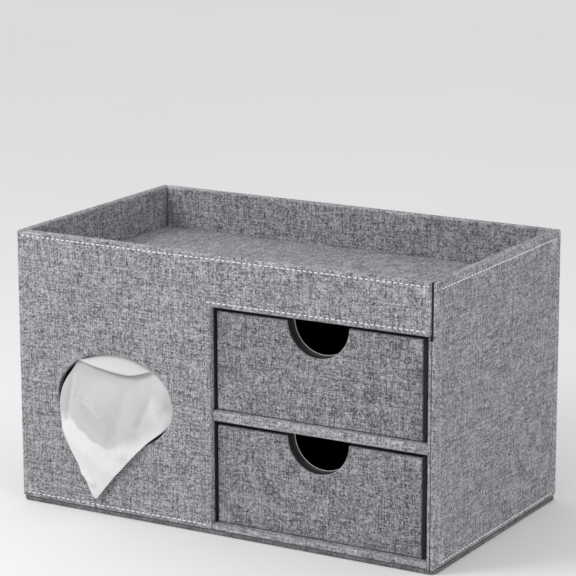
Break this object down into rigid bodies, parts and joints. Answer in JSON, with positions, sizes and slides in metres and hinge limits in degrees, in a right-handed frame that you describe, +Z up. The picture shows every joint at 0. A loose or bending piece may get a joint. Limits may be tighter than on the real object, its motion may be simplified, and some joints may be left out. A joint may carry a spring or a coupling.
{
  "type": "tissue box with drawers",
  "caption": "Linen-covered desk box with an open top tray, a tissue compartment with an oval mouth, stacked drawers with finger notches and a hinged loading door.",
  "frame": {"origin": "on the table under the middle of the box", "axes": "+Z up, +X to the right seen from the front, the drawers and the oval mouth face -Y"},
  "size_m": [0.26, 0.1563, 0.155],
  "materials": {
    "grey_linen": "melange grey linen-weave cover, matt",
    "black_lining": "black flocked lining, matt",
    "fibreboard": "raw fibreboard",
    "magnet_steel": "plated disc magnet",
    "tissue": "soft white tissue, fine emboss"
  },
  "bodies": {
    "case": {"back_board": "fibreboard", "back_cover": "grey_linen", "base_sheet": "grey_linen", "bottom_board": "fibreboard", "bottom_cover": "grey_linen", "catch_block_lower": "fibreboard", "catch_block_upper": "fibreboard", "catch_magnet_lower": "magnet_steel", "catch_magnet_upper": "magnet_steel", "divider_board": "fibreboard", "door_hinge_strip": "grey_linen", "front_board": "fibreboard", "front_cover": "grey_linen", "left_board": "fibreboard", "left_cover": "grey_linen", "lower_bay_lining": "black_lining", "right_board": "fibreboard", "right_cover": "grey_linen", "shelf_board": "fibreboard", "shelf_cover": "grey_linen", "sill_cover": "grey_linen", "tissue_bay_lining": "black_lining", "tissue_pack": "tissue", "tissue_sheet": "tissue", "tray_board": "fibreboard", "tray_lining": "grey_linen", "upper_bay_lining": "black_lining"},
    "upper_drawer": {"upper_drawer_back_board": "fibreboard", "upper_drawer_bottom_board": "fibreboard", "upper_drawer_front_board": "fibreboard", "upper_drawer_front_cover": "grey_linen", "upper_drawer_left_board": "fibreboard", "upper_drawer_lining": "black_lining", "upper_drawer_right_board": "fibreboard", "upper_drawer_side_cover": "grey_linen"},
    "lower_drawer": {"lower_drawer_back_board": "fibreboard", "lower_drawer_bottom_board": "fibreboard", "lower_drawer_front_board": "fibreboard", "lower_drawer_front_cover": "grey_linen", "lower_drawer_left_board": "fibreboard", "lower_drawer_lining": "black_lining", "lower_drawer_right_board": "fibreboard", "lower_drawer_side_cover": "grey_linen"},
    "loading_door": {"door_board": "fibreboard", "door_cover": "grey_linen", "door_lining": "black_lining", "door_magnet_lower": "magnet_steel", "door_magnet_upper": "magnet_steel", "door_pull_tab": "grey_linen"}
  },
  "joints": [
    {"name": "upper_drawer_slide", "type": "slide", "parent": "case", "child": "upper_drawer", "axis": [0, -1, 0], "range_m": [0, 0.1]},
    {"name": "lower_drawer_slide", "type": "slide", "parent": "case", "child": "lower_drawer", "axis": [0, -1, 0], "range_m": [0, 0.1]},
    {"name": "loading_door_hinge", "type": "hinge", "parent": "case", "child": "loading_door", "pos_m": [-0.1238, 0.0746, 0.0658], "axis": [0, 0, 1], "range_deg": [0, 120], "deforming": ["door_hinge_strip"]}
  ]
}
